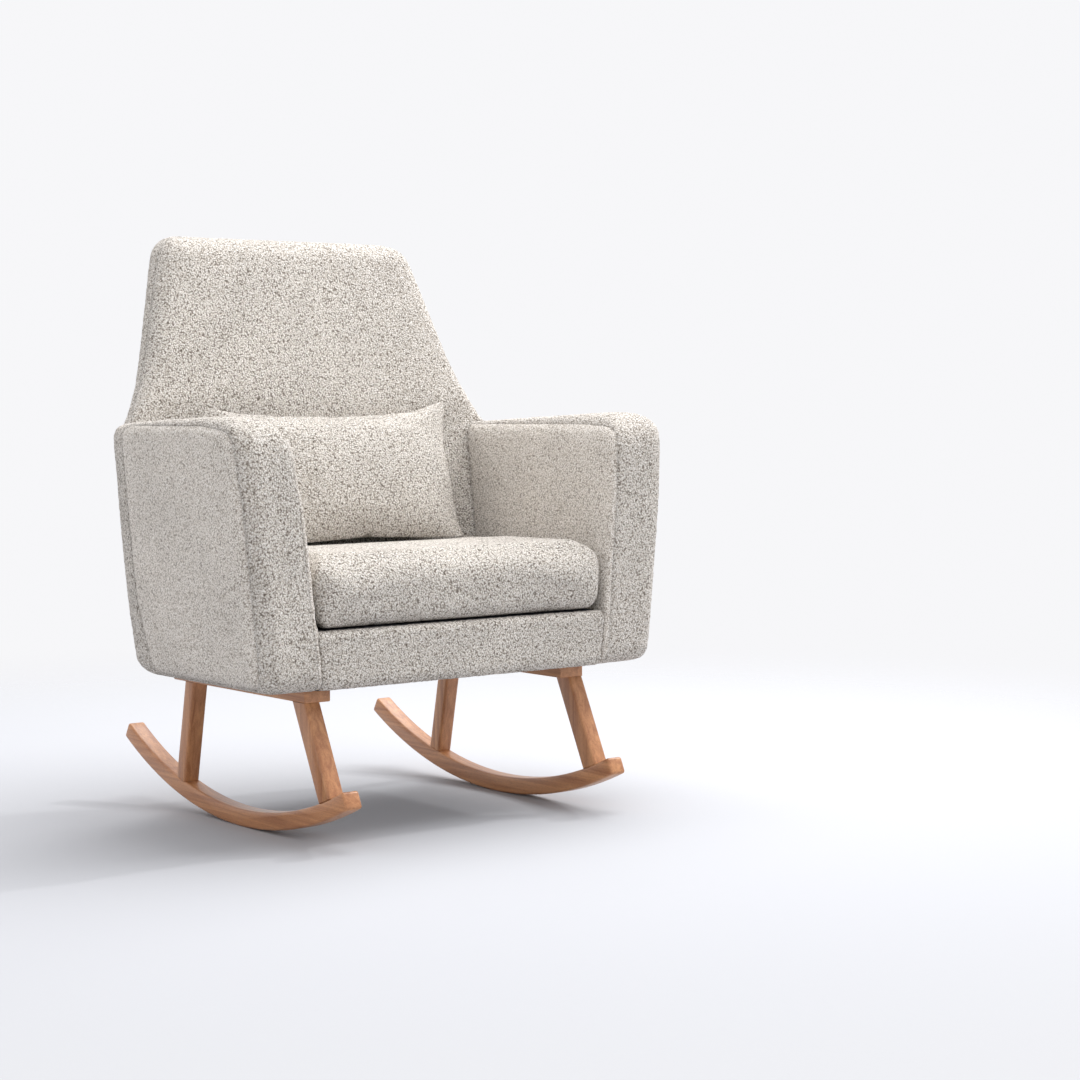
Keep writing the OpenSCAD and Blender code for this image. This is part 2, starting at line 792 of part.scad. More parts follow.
inner_back_cover();
outer_back_cover();
front_border_cover();
seat_cushion_foam();
seat_cushion_cover();
seat_cushion_zip();
seat_zip_slider();
pillow_filling();
pillow_cover();
pillow_zip();
pillow_zip_slider();
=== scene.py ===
"""Upholstered nursery rocking chair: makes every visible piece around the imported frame."""

import json
import math

import bmesh
import bpy
import numpy as np
from bpy.props import FloatProperty, FloatVectorProperty, IntProperty, PointerProperty
from mathutils import Matrix, Vector, noise
from mathutils.bvhtree import BVHTree
from mathutils.kdtree import KDTree


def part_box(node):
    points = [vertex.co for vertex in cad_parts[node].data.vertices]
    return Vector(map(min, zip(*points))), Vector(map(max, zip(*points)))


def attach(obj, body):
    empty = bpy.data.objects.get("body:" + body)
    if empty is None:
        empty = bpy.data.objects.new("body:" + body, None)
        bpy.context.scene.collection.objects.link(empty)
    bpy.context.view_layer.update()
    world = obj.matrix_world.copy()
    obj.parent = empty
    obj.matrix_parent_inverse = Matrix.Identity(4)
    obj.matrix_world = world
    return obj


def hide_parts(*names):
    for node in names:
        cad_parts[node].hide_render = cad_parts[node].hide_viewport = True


bl_info = {
    "name": "Nursery Rocking Chair",
    "version": (1, 0, 0),
    "blender": (4, 5, 0),
    "location": "View3D > Sidebar > Rocking Chair",
    "description": "Upholstery, cushions, runners and fittings of a boucle rocking chair",
    "category": "Object",
}

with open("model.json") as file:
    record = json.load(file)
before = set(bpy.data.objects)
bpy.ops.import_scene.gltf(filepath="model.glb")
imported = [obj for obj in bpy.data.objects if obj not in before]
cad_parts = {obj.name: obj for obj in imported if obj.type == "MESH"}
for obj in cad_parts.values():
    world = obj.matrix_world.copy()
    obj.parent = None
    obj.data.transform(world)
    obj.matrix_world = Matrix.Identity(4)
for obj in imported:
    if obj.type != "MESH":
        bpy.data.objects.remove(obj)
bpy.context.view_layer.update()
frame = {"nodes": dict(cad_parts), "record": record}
SIDES = (("left", -1), ("right", 1))
MM = 0.001

# The seat frame and the panels follow these planes, as the solids do
BACK_REF_Y, BACK_REF_Z, BACK_LEAN = 0.088, 0.42, 0.262
FLARE_REF_Z, FLARE = 0.26, 0.1
ARM_INNER, ARM_OUTER = 0.2685, 0.375
OUTER_INSET, INNER_INSET = 0.006, 0.009
ARM_SEAM_Y = 0.066
BACK_SEAM = 0.024
VALLEY = -0.006


def linear(code):
    """A colour for the shaders from its sRGB hex code."""
    parts = [int(code[i:i + 2], 16) / 255 for i in (1, 3, 5)]
    return [c / 12.92 if c <= 0.04045 else ((c + 0.055) / 1.055) ** 2.4 for c in parts]


def colour(name, code, about):
    return FloatVectorProperty(name=name, description=about, subtype="COLOR", size=3,
                               min=0, max=1, default=linear(code))


def length(name, value, about):
    return FloatProperty(name=name, description=about, default=value, min=0,
                         subtype="DISTANCE", unit="LENGTH")


class ChairSizes(bpy.types.PropertyGroup):
    """Sizes that a maker would change."""
    cloth_cell: length("Cloth cell", 4 * MM, "Edge of one face on the upholstered panels")
    seam_depth: length("Seam depth", 1.8 * MM, "How far a seam draws the cloth in")
    seam_width: length("Seam width", 5 * MM, "Half width of the hollow along a seam")
    crown: length("Crown", 3 * MM, "How far a panel swells between its seams")
    fullness: length("Fullness", 6 * MM, "How far the padding fills out the back and the arms' outer sides")
    loop_size: length("Loop size", 6.5 * MM, "Distance between the larger loops of the yarn")
    loop_height: length("Loop height", 1.1 * MM, "Height of the larger loops")
    cover_thickness: length("Cover thickness", 2.5 * MM, "Thickness of the cover panels")
    cushion_cell: length("Cushion cell", 5.5 * MM, "Edge of one face before a cushion is filled")
    cushion_swell: length("Cushion swell", 9 * MM, "Most that filling moves the cushion's cover")
    pillow_swell: length("Pillow swell", 14 * MM, "Most that filling moves the pillow's cover")
    wood_edge: length("Wood edge", 4.5 * MM, "Radius worked on the edges of the base")
    tooth_pitch: length("Zip tooth pitch", 2.5 * MM, "Distance between teeth of a zip")


class ChairColours(bpy.types.PropertyGroup):
    """Colours that a maker would change."""
    # Painted highlight: the loops' tips are painted lighter than the yarn, where they catch the light
    yarn_tip_highlight: colour("Yarn tip", "#FFFBF6", "Raised loops of the boucle")
    yarn_body: colour("Yarn body", "#D9D0C5", "Sides of the loops")
    # Painted shade: the ground between the loops is painted dark where shade falls among them
    yarn_root_shade: colour("Yarn root", "#6B6054", "Shaded ground between the loops")
    beech_pale: colour("Beech pale", "#C48A5B", "Pale grain of the lacquered beech")
    beech_dark: colour("Beech dark", "#9B623B", "Dark grain of the lacquered beech")
    floor: colour("Floor", "#B6B7BB", "Studio floor")


def sizes():
    return bpy.context.scene.chair_sizes


def colours():
    return bpy.context.scene.chair_colours


# ---- Materials ----


def node(tree, kind, links=(), **settings):
    """Adds one shader or geometry node, with its settings and its incoming links or values."""
    made = tree.nodes.new(kind)
    for key, value in settings.items():
        setattr(made, key, value)
    for socket, value in dict(links).items():
        if isinstance(value, bpy.types.NodeSocket):
            tree.links.new(value, made.inputs[socket])
        else:
            made.inputs[socket].default_value = value
    return made


def ramp(tree, factor, stops):
    made = node(tree, "ShaderNodeValToRGB", {"Fac": factor})
    elements = made.color_ramp.elements
    while len(elements) < len(stops):
        elements.new(0.5)
    for element, (place, value) in zip(elements, stops):
        element.position = place
        element.color = (*value, 1)
    return made.outputs["Color"]


def new_material(name):
    material = bpy.data.materials.new(name)
    material.use_nodes = True
    tree = material.node_tree
    tree.nodes.clear()
    return material, tree


def finish_material(tree, settings):
    shader = node(tree, "ShaderNodeBsdfPrincipled", settings)
    node(tree, "ShaderNodeOutputMaterial", {"Surface": shader.outputs["BSDF"]})


def object_pattern(tree, scale=(1, 1, 1), turn=(0, 0, 0)):
    where = node(tree, "ShaderNodeTexCoord")
    return node(tree, "ShaderNodeMapping",
                {"Vector": where.outputs["Object"], "Scale": scale, "Rotation": turn}).outputs["Vector"]


def boucle(name, loop, relief, pit_shade_strength):
    """Wool boucle: a looped yarn whose tips carry a painted highlight over painted shade on the ground between the
    loops, with painted shade along the seams.
    """
    material, tree = new_material(name)
    c = colours()
    # How dark the painted shade between the loops is, from the yarn's own colour at 0 to the full dark ground colour at
    # 1
    painted_root_shade = [body + (deep - body) * pit_shade_strength for body, deep in zip(c.yarn_body, c.yarn_root_shade)]
    where = object_pattern(tree)
    stray = node(tree, "ShaderNodeTexNoise", {"Vector": where, "Scale": 1 / (2.2 * loop), "Detail": 2.0})
    offset = node(tree, "ShaderNodeVectorMath", {0: stray.outputs["Color"], 1: (0.5, 0.5, 0.5)},
                  operation="SUBTRACT")
    curled = node(tree, "ShaderNodeVectorMath", {0: offset.outputs["Vector"], "Scale": loop * 1.6},
                  operation="SCALE")
    bent = node(tree, "ShaderNodeVectorMath", {0: where, 1: curled.outputs["Vector"]}, operation="ADD")
    loops = node(tree, "ShaderNodeTexVoronoi", {"Vector": bent.outputs["Vector"], "Scale": 1 / loop})
    plies = node(tree, "ShaderNodeTexNoise", {"Vector": bent.outputs["Vector"], "Scale": 3 / loop,
                                              "Detail": 2.0})
    hollow = node(tree, "ShaderNodeMath", {0: plies.outputs["Fac"], 1: 0.7, 2: -0.35},
                  operation="MULTIPLY_ADD")
    depth = node(tree, "ShaderNodeMath", {0: loops.outputs["Distance"], 1: hollow.outputs["Value"]},
                 operation="ADD")
    # Painted highlight on the loops' tips, the yarn's own colour on their sides and painted shade deepest between them
    yarn = ramp(tree, depth.outputs["Value"], ((0.2, c.yarn_tip_highlight), (0.5, c.yarn_body), (0.88, painted_root_shade)))
    cloud = node(tree, "ShaderNodeTexNoise", {"Vector": where, "Scale": 1 / (90 * MM), "Detail": 3.0})
    worn = node(tree, "ShaderNodeMapRange", {"Value": cloud.outputs["Fac"], "From Min": 0.3,
                                             "From Max": 0.7, "To Min": 0.93, "To Max": 1.04})
    # Painted shade: the cloth is darkened by up to 12 % along the seams, where shade falls in their creases
    seam = node(tree, "ShaderNodeAttribute", attribute_name="seam")
    painted_seam_shade = node(tree, "ShaderNodeMapRange", {"Value": seam.outputs["Fac"], "To Min": 1.0, "To Max": 0.88})
    dim = node(tree, "ShaderNodeMath", {0: worn.outputs["Result"], 1: painted_seam_shade.outputs["Result"]},
               operation="MULTIPLY")
    tinted = node(tree, "ShaderNodeVectorMath", {0: yarn, "Scale": dim.outputs["Value"]}, operation="SCALE")
    height = node(tree, "ShaderNodeMath", {0: 1.0, 1: depth.outputs["Value"]}, operation="SUBTRACT")
    relief_node = node(tree, "ShaderNodeBump", {"Height": height.outputs["Value"], "Strength": 1.0,
                                                "Distance": relief})
    finish_material(tree, {"Base Color": tinted.outputs["Vector"], "Roughness": 0.95,
                           "Specular IOR Level": 0.15, "Sheen Weight": 0.25, "Sheen Roughness": 0.5,
                           "Normal": relief_node.outputs["Normal"]})
    return material


def beech(name, grain_axis):
    """Lacquered beech: pale brown, straight grain with short dark flecks under a satin coat."""
    material, tree = new_material(name)
    along, across = 1 / (260 * MM), 1 / (9 * MM)
    scale = [along if axis == grain_axis else across for axis in range(3)]
    where = object_pattern(tree, scale)
    figure = node(tree, "ShaderNodeTexNoise", {"Vector": where, "Scale": 1.0, "Detail": 5.0,
                                               "Roughness": 0.6, "Distortion": 0.6})
    fleck_scale = [1 / (5 * MM) if axis == grain_axis else 1 / (0.9 * MM) for axis in range(3)]
    fleck = node(tree, "ShaderNodeTexNoise", {"Vector": object_pattern(tree, fleck_scale), "Scale": 1.0,
                                              "Detail": 1.0})
    c = colours()
    wood = ramp(tree, figure.outputs["Fac"], ((0.32, c.beech_dark), (0.66, c.beech_pale)))
    marks = node(tree, "ShaderNodeMapRange", {"Value": fleck.outputs["Fac"], "From Min": 0.34,
                                              "From Max": 0.46, "To Min": 0.8, "To Max": 1.0})
    tinted = node(tree, "ShaderNodeVectorMath", {0: wood, "Scale": marks.outputs["Result"]},
                  operation="SCALE")
    pores = node(tree, "ShaderNodeBump", {"Height": fleck.outputs["Fac"], "Strength": 0.15,
                                          "Distance": 0.2 * MM})
    finish_material(tree, {"Base Color": tinted.outputs["Vector"], "Roughness": 0.42,
                           "Coat Weight": 0.35, "Coat Roughness": 0.22, "Normal": pores.outputs["Normal"]})
    return material


def grained(name, low, high, size, stretch, settings, relief=0.2 * MM):
    """A material with two tones on a noise of a real size, stretched along one axis, and a fine relief."""
    material, tree = new_material(name)
    where = object_pattern(tree, [1 / (size * s) for s in stretch])
    tone = node(tree, "ShaderNodeTexNoise", {"Vector": where, "Scale": 1.0, "Detail": 4.0})
    tinted = ramp(tree, tone.outputs["Fac"], ((0.3, linear(low)), (0.7, linear(high))))
    bump = node(tree, "ShaderNodeBump", {"Height": tone.outputs["Fac"], "Strength": 0.4, "Distance": relief})
    finish_material(tree, {"Base Color": tinted, "Normal": bump.outputs["Normal"], **settings})
    return material


def woven(name, low, high, pitch, settings):
    """A plain weave: two crossing sets of threads of one pitch, with the ground showing between them."""
    material, tree = new_material(name)
    where = object_pattern(tree, [1 / pitch] * 3)
    heights = []
    for direction in "X", "Z":
        wave = node(tree, "ShaderNodeTexWave", {"Vector": where, "Scale": 0.16, "Distortion": 0.4},
                    bands_direction=direction)
        heights.append(wave.outputs["Fac"])
    thread = node(tree, "ShaderNodeMath", {0: heights[0], 1: heights[1]}, operation="MAXIMUM")
    tinted = ramp(tree, thread.outputs["Value"], ((0.3, linear(low)), (0.9, linear(high))))
    bump = node(tree, "ShaderNodeBump", {"Height": thread.outputs["Value"], "Strength": 0.5,
                                         "Distance": 0.3 * MM})
    finish_material(tree, {"Base Color": tinted, "Normal": bump.outputs["Normal"], **settings})
    return material


def make_materials():
    return {
        # Loop pitch and relief of the curled face, as worn panels and the cushion show it, with the full painted shade
        # between the loops
        "curled": boucle("Wool boucle, curled", 2.7 * MM, 3 * MM, 1.0),
        # The same cloth where it is pulled flat over a panel, with smaller loops, less relief and less painted shade
        # between the loops
        "flat": boucle("Wool boucle, flat", 2.4 * MM, 1.5 * MM, 0.8),
        "beech_run": beech("Lacquered beech, grain along the runner", 1),
        "beech_leg": beech("Lacquered beech, grain up the leg", 2),
        # Planed pine: pale, with wide soft grain and no coat
        "frame_timber": grained("Planed pine", "#C9AA78", "#E2CBA0", 14 * MM, (1, 1, 14),
                                {"Roughness": 0.75}),
        # Moulded polyurethane foam: matt, with open cells
        "cushion_foam": grained("Polyurethane foam", "#DCCB98", "#F2E6BC", 2.2 * MM, (1, 1, 1),
                                {"Roughness": 0.95}, 0.6 * MM),
        # Spun-bonded polypropylene: black with a faint diamond of fibres
        "black_cloth": woven("Spun-bonded polypropylene", "#17171A", "#34343A", 1.6 * MM,
                             {"Roughness": 0.85}),
        # Rubber and polyester webbing: black ribs over a brown ground
        "elastic_webbing": woven("Elasticated webbing", "#2A2421", "#6A5B4C", 3.0 * MM,
                                 {"Roughness": 0.8}),
        # Zinc-plated steel: grey metal with a slightly uneven plated sheen
        "zinc_plated_steel": grained("Zinc-plated steel", "#9FA3A6", "#C4C8CB", 6 * MM, (1, 1, 1),
                                     {"Metallic": 1.0, "Roughness": 0.34}, 0.05 * MM),
        # Woven polyester zip tape
        "zip_tape": woven("Woven polyester tape", "#A79F92", "#D9D2C6", 1.2 * MM, {"Roughness": 0.85}),
        # Nickel-plated brass of the sliders and teeth
        "zip_metal": grained("Nickel-plated brass", "#A8A196", "#CFC9BE", 3 * MM, (1, 1, 1),
                             {"Metallic": 1.0, "Roughness": 0.28}, 0.03 * MM),
    }


MATERIALS = {}


# ---- Meshes ----


def link(name, mesh):
    piece = bpy.data.objects.new(name, mesh)
    bpy.context.scene.collection.objects.link(piece)
    return piece


def welded(names):
    """The CAD nodes' meshes in one bmesh with their doubles merged."""
    bm = bmesh.new()
    for name in names:
        bm.from_mesh(frame["nodes"][name].data)
    bmesh.ops.remove_doubles(bm, verts=bm.verts, dist=0.002 * MM)
    return bm


def to_mesh(bm, name):
    mesh = bpy.data.meshes.new(name)
    bm.to_mesh(mesh)
    bm.free()
    return mesh


def baked(piece):
    """Applies every modifier of the piece."""
    bpy.context.view_layer.update()
    shaped = piece.evaluated_get(bpy.context.evaluated_depsgraph_get())
    mesh = bpy.data.meshes.new_from_object(shaped)
    piece.modifiers.clear()
    old = piece.data
    piece.data = mesh
    if old.users == 0:
        bpy.data.meshes.remove(old)
    mesh.name = piece.name
    return piece


def remeshed(name, nodes, cell, rounds, softer=()):
    """One closed skin round the named CAD nodes, with its edges eased by smoothing.

    softer holds pairs of a weight for each point and the extra rounds of smoothing at full weight."""
    piece = link(name, to_mesh(welded(nodes), name))
    skin = piece.modifiers.new("Skin", "REMESH")
    skin.mode, skin.voxel_size, skin.use_smooth_shade = "VOXEL", cell, True
    ease = piece.modifiers.new("Ease", "SMOOTH")
    ease.factor, ease.iterations = 0.5, rounds
    baked(piece)
    for weigh, extra in softer:
        weights = np.round(weigh(points(piece.data)) * 10).astype(int)
        group = piece.vertex_groups.new(name="Softer")
        for level in range(1, 11):
            group.add([int(i) for i in np.flatnonzero(weights == level)], level / 10, "REPLACE")
        ease = piece.modifiers.new("Ease", "SMOOTH")
        ease.factor, ease.iterations, ease.vertex_group = 0.5, extra, group.name
        baked(piece)
        piece.vertex_groups.clear()
    return piece


def points(mesh, kind="co"):
    flat = np.zeros(len(mesh.vertices) * 3, np.float32)
    if kind == "co":
        mesh.vertices.foreach_get("co", flat)
    else:
        mesh.vertex_normals.foreach_get("vector", flat)
    return flat.reshape(-1, 3).astype(float)


def set_points(mesh, co):
    mesh.vertices.foreach_set("co", np.ascontiguousarray(co, np.float32).ravel())
    mesh.update()


def pillow_shape(co):
    """Thins the pillow to its side and top seams, and lets its lower edge sag onto the seat."""
    centre, half = np.array([0, 0.08, 0.549]), np.array([0.25, 0.118])
    lean = math.radians(27)
    rise = np.array([0, math.sin(lean), math.cos(lean)])
    front = np.array([0, -math.cos(lean), math.sin(lean)])
    along, depth = (co - centre) @ rise, (co - centre) @ front
    u, v = co[:, 0] / half[0], along / half[1]
    edge = np.maximum(np.abs(u), np.maximum(v, 0)) ** 4
    thin = 1 - 0.62 * np.clip(edge, 0, 1)
    co = co + front * (depth * (thin - 1))[:, None]
    # Between the corners the seams draw in
    waist = 1 - 0.03 * (1 - np.clip(v * v, 0, 1))
    co[:, 0] *= waist
    low = smoothstep((-v + 0.1) / 1.1)
    co[:, 0] -= np.sign(co[:, 0]) * 28 * MM * low * np.clip(np.abs(u), 0, 1) ** 3
    corner = smoothstep((np.abs(u) - 0.65) / 0.3) * smoothstep((v - 0.3) / 0.6)
    co[:, 0] += np.sign(co[:, 0]) * corner * 13 * MM
    co += rise * (corner * 14 * MM)[:, None]
    sag = low * smoothstep((depth + 0.02) / 0.06)
    co[:, 2] -= sag * 42 * MM
    return co


def smoothstep(t):
    t = np.clip(t, 0, 1)
    return t * t * (3 - 2 * t)


def loops_height(co, size):
    """Height of the yarn's larger loops at each point, from -1 to 1, as rounded cells that wander."""
    out = np.empty(len(co))
    for i, p in enumerate(co):
        v = Vector(p)
        v = v / size + noise.noise_vector(v / (2.5 * size)) * 0.8
        out[i] = 0.75 - 1.5 * min(1.0, noise.voronoi(v)[0][0])
    return out


def add_loops(mesh, size, height, strength=None):
    """Moves the skin out and in with the loops of the yarn."""
    co, up = points(mesh), points(mesh, "normal")
    rise = loops_height(co, size) * height
    if strength is not None:
        rise *= strength
    set_points(mesh, co + up * rise[:, None])


def mark(mesh, name, values):
    if name in mesh.attributes:
        mesh.attributes.remove(mesh.attributes[name])
    mesh.attributes.new(name, "FLOAT", "POINT").data.foreach_set("value", np.asarray(values, np.float32))


def shade_smooth(mesh):
    mesh.polygons.foreach_set("use_smooth", [True] * len(mesh.polygons))


def settle(piece, body, slot, *nodes):
    """Rides the finished piece on its body and hides the CAD nodes it stands for."""
    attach(piece, body)
    if nodes:
        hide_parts(*nodes)
    return piece


# ---- Upholstered body ----


def back_offset(y, z):
    return y - BACK_REF_Y - BACK_LEAN * (z - BACK_REF_Z)


def flare_offset(x, z):
    return np.abs(x) - FLARE * (z - FLARE_REF_Z)


def cut_along_seams(bm):
    """Puts clean edges where the cover's panels meet."""
    planes = [(Vector((0, ARM_SEAM_Y, 0)), Vector((0, 1, 0)))]
    for offset in BACK_SEAM, VALLEY:
        planes.append((Vector((0, BACK_REF_Y + offset, BACK_REF_Z)), Vector((0, 1, -BACK_LEAN))))
    for _, side in SIDES:
        for x in ARM_OUTER - OUTER_INSET, ARM_INNER + INNER_INSET:
            planes.append((Vector((side * x, 0, FLARE_REF_Z)), Vector((side, 0, -FLARE))))
    for place, normal in planes:
        bmesh.ops.bisect_plane(bm, geom=bm.verts[:] + bm.edges[:] + bm.faces[:], dist=0.1 * MM,
                               plane_co=place, plane_no=normal)


def arm_fronts(co):
    """Weight of the arms' padded top corners at the front, which are the fullest roundings."""
    return smoothstep((-0.17 - co[:, 1]) / 0.07) * smoothstep((co[:, 2] - 0.5) / 0.08)


def body_foot(co):
    """Weight of the lower edges, where the cloth rolls under the frame."""
    return smoothstep((0.31 - co[:, 2]) / 0.05) * smoothstep((np.abs(co[:, 0]) - 0.28) / 0.02)


def rear_foot(co):
    """Weight of the rounded heel at each rear lower corner."""
    return (smoothstep((co[:, 1] - 0.06) / 0.06) * smoothstep((0.36 - co[:, 2]) / 0.06)
            * smoothstep((np.abs(co[:, 0]) - 0.28) / 0.05))


def arm_heels(co):
    """Weight of the arms' rear top corners, where the cover turns onto the back."""
    return (smoothstep((co[:, 1] - 0.03) / 0.05) * smoothstep((co[:, 2] - 0.5) / 0.05)
            * smoothstep((np.abs(co[:, 0]) - 0.33) / 0.03) * smoothstep((0.68 - co[:, 2]) / 0.03))


PANELS = ("arm_outer_panel", "arm_band_panel", "arm_inner_panel", "inner_back_panel", "outer_back_panel")
OUTER, BAND, INNER, FRONT_BACK, REAR_BACK = range(5)


def label_faces(bm):
    """Which panel each face of the skin belongs to."""
    trees = [BVHTree.FromBMesh(welded([n])) for n in ("inner_back_cover", "outer_back_cover")]
    labels = []
    for face in bm.faces:
        c = face.calc_center_median()
        u, b = abs(c.x) - FLARE * (c.z - FLARE_REF_Z), back_offset(c.y, c.z)
        if b < VALLEY:
            if u < ARM_INNER + INNER_INSET:
                labels.append(INNER)
            elif c.y > ARM_SEAM_Y:
                labels.append(REAR_BACK)
            else:
                labels.append(OUTER if u > ARM_OUTER - OUTER_INSET else BAND)
        elif b > BACK_SEAM or (c.z < 0.6 and u > 0.3):
            labels.append(REAR_BACK)
        else:
            near = [tree.find_nearest(c)[3] for tree in trees]
            labels.append(FRONT_BACK if near[0] <= near[1] else REAR_BACK)
    return labels


def distance_to(co, line):
    tree = KDTree(len(line))
    for i, p in enumerate(line):
        tree.insert(p, i)
    tree.balance()
    return np.array([tree.find(p)[2] for p in co])


def dress_body():
    """The arms and back as one padded skin, cut into the cover's panels."""
    s = sizes()
    nodes = ["back_foam", "back_top_rail", "lumbar_rail", "rear_seat_rail", "inner_back_cover",
             "outer_back_cover"]
    for side, _ in SIDES:
        nodes += [side + "_" + n for n in ("arm_foam", "arm_frame", "arm_outer_cover", "arm_band",
                                           "arm_inner_cover", "back_stile")]
    softer = ((arm_fronts, 110), (body_foot, 40), (rear_foot, 220), (arm_heels, 120))
    skin = remeshed("body_skin", nodes, s.cloth_cell, 18, softer)
    bm = bmesh.new()
    bm.from_mesh(skin.data)
    cut_along_seams(bm)
    labels = label_faces(bm)
    bm.faces.ensure_lookup_table()
    bm.verts.ensure_lookup_table()
    seam_line = []
    for v in bm.verts:
        kinds = {labels[f.index] for f in v.link_faces}
        if len(kinds) > 1:
            seam_line.append(v.index)
    for i, face in enumerate(bm.faces):
        face.material_index = labels[i]
        face.smooth = True
    bm.to_mesh(skin.data)
    bm.free()
    mesh = skin.data
    co, up = points(mesh), points(mesh, "normal")
    away = distance_to(co, co[seam_line])
    groove = np.exp(-((away / s.seam_width) ** 2))
    swell = s.crown * (1 - np.exp(-((away / (60 * MM)) ** 2)))
    under = np.clip((co[:, 2] - 0.24) / 0.02, 0, 1)
    on_back = smoothstep((co[:, 2] - 0.62) / 0.06)
    outside = smoothstep((flare_offset(co[:, 0], co[:, 2]) - ARM_INNER - 0.05) / 0.03) * (1 - on_back)
    swell = swell + s.fullness * np.maximum(on_back, 0.7 * outside)
    co += up * ((swell - s.seam_depth * groove) * under)[:, None]
    # The rear of each arm stands more upright than its front, and its heel is drawn in
    behind = smoothstep(co[:, 1] / 0.1) * smoothstep((co[:, 2] - 0.4) / 0.2) * outside
    heel = (smoothstep((0.34 - co[:, 2]) / 0.08) * smoothstep((co[:, 1] - 0.08) / 0.1)
            * smoothstep((np.abs(co[:, 0]) - 0.3) / 0.04))
    co[:, 0] -= np.sign(co[:, 0]) * (3 * MM * behind + 8 * MM * heel)
    co[:, 2] += 8 * MM * heel
    set_points(mesh, co)
    add_loops(mesh, s.loop_size, s.loop_height, 0.35 + 0.65 * under)
    # Closeness to a seam, which sets how much painted shade the cloth gets along the seams' creases
    mark(mesh, "seam", np.exp(-((away / (3.5 * MM)) ** 2)))
    return skin


def take_panel(skin, name, label, side=0):
    """One panel of the skin, as a closed piece of cloth with its own thickness."""
    bm = bmesh.new()
    bm.from_mesh(skin.data)
    drop = [f for f in bm.faces if f.material_index != label
            or (side and f.calc_center_median().x * side < 0)]
    bmesh.ops.delete(bm, geom=drop, context="FACES")
    for face in bm.faces:
        face.material_index = 0
    piece = link(name, to_mesh(bm, name))
    thick = piece.modifiers.new("Thickness", "SOLIDIFY")
    thick.thickness, thick.offset = sizes().cover_thickness, -1
    return baked(piece)


def finish_on(piece, *materials):
    piece.data.materials.clear()
    for m in materials:
        piece.data.materials.append(MATERIALS[m])
    shade_smooth(piece.data)
    return piece


# ---- Loose cushions ----


def filled(piece, cap, limits):
    """Fills the cover by cloth simulation and keeps it within its room."""
    start = points(piece.data)
    cloth = piece.modifiers.new("Filling", "CLOTH")
    cloth.settings.use_pressure = True
    cloth.settings.uniform_pressure_force = 4
    cloth.settings.effector_weights.gravity = 0
    cloth.point_cache.frame_start, cloth.point_cache.frame_end = 1, 20
    for step in range(1, 21):
        bpy.context.scene.frame_set(step)
    baked(piece)
    bpy.context.scene.frame_set(1)
    moved = points(piece.data) - start
    far = np.linalg.norm(moved, axis=1)
    moved *= (np.minimum(far, cap) / np.maximum(far, 1e-9))[:, None]
    set_points(piece.data, limits(start + moved))
    finer = piece.modifiers.new("Finer", "SUBSURF")
    finer.levels = finer.render_levels = 1
    baked(piece)
    set_points(piece.data, limits(points(piece.data)))
    return piece


def cushion_room(co):
    """The seat cushion rests on the deck, stands between the arms and carries the pillow."""
    low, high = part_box("seat_cushion_cover")
    inner = ARM_INNER + FLARE * (co[:, 2] - FLARE_REF_Z) - 2.2 * MM
    co[:, 0] = np.clip(co[:, 0], -inner, inner)
    co[:, 1] = np.clip(co[:, 1], low.y - 9 * MM, high.y - 0.4 * MM)
    crown = 7 * MM * smoothstep((0.0 - co[:, 1]) / 0.1) - 1.5 * MM
    lift = 7 * MM * smoothstep((low.y + 0.045 - co[:, 1]) / 0.05) + 0.3 * MM
    co[:, 2] = np.clip(co[:, 2], low.z + lift, high.z + crown)
    return co


def pillow_room(co):
    """The pillow stands on the cushion and leans on the back."""
    low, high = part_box("pillow_zip")
    seat = np.full(len(co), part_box("seat_cushion_cover")[1].z + 1.6 * MM)
    beside_zip = (co[:, 1] > low.y - 7 * MM) & (co[:, 1] < high.y + 9 * MM)
    beside_zip &= np.abs(co[:, 0]) < high.x + 6 * MM
    seat[beside_zip] = high.z
    co[:, 2] = np.maximum(co[:, 2], seat)
    limit = BACK_REF_Y + BACK_LEAN * (co[:, 2] - BACK_REF_Z) - 3.4 * MM
    co[:, 1] = np.minimum(co[:, 1], limit)
    return co


# ---- Wooden base ----


def eased(name, node_name, keep_edge):
    """A CAD node of the base with a radius worked on the edges that the maker would round."""
    bm = welded([node_name])
    bmesh.ops.dissolve_limit(bm, angle_limit=math.radians(0.6), verts=bm.verts, edges=bm.edges)
    weight = bm.edges.layers.float.new("bevel_weight_edge")
    for edge in bm.edges:
        sharp = edge.is_manifold and edge.calc_face_angle(0) > math.radians(35)
        if sharp and keep_edge(edge):
            edge[weight] = 1
    piece = link(name, to_mesh(bm, name))
    rounding = piece.modifiers.new("Rounding", "BEVEL")
    rounding.limit_method, rounding.width, rounding.segments = "WEIGHT", sizes().wood_edge, 4
    baked(piece)
    shade_smooth(piece.data)
    piece.data.set_sharp_from_angle(angle=math.radians(40))
    return piece


def runner_edge(edge):
    a, b = (v.co for v in edge.verts)
    low, high = RUNNER_X
    on_face = [min(abs(abs(v.x) - low), abs(abs(v.x) - high)) < 0.2 * MM for v in (a, b)]
    across = abs((b - a).normalized().x) > 0.9
    return (all(on_face) and not across) or (across and min(abs(a.y), abs(b.y)) > 0.3)


def leg_edge(edge):
    a, b = (v.co for v in edge.verts)
    return abs((b - a).normalized().z) > 0.8 and (b - a).length > 50 * MM


def rail_edge(edge):
    a, b = (v.co for v in edge.verts)
    return (b - a).length > 12 * MM


RUNNER_X = (0.238, 0.268)


# ---- Zips ----


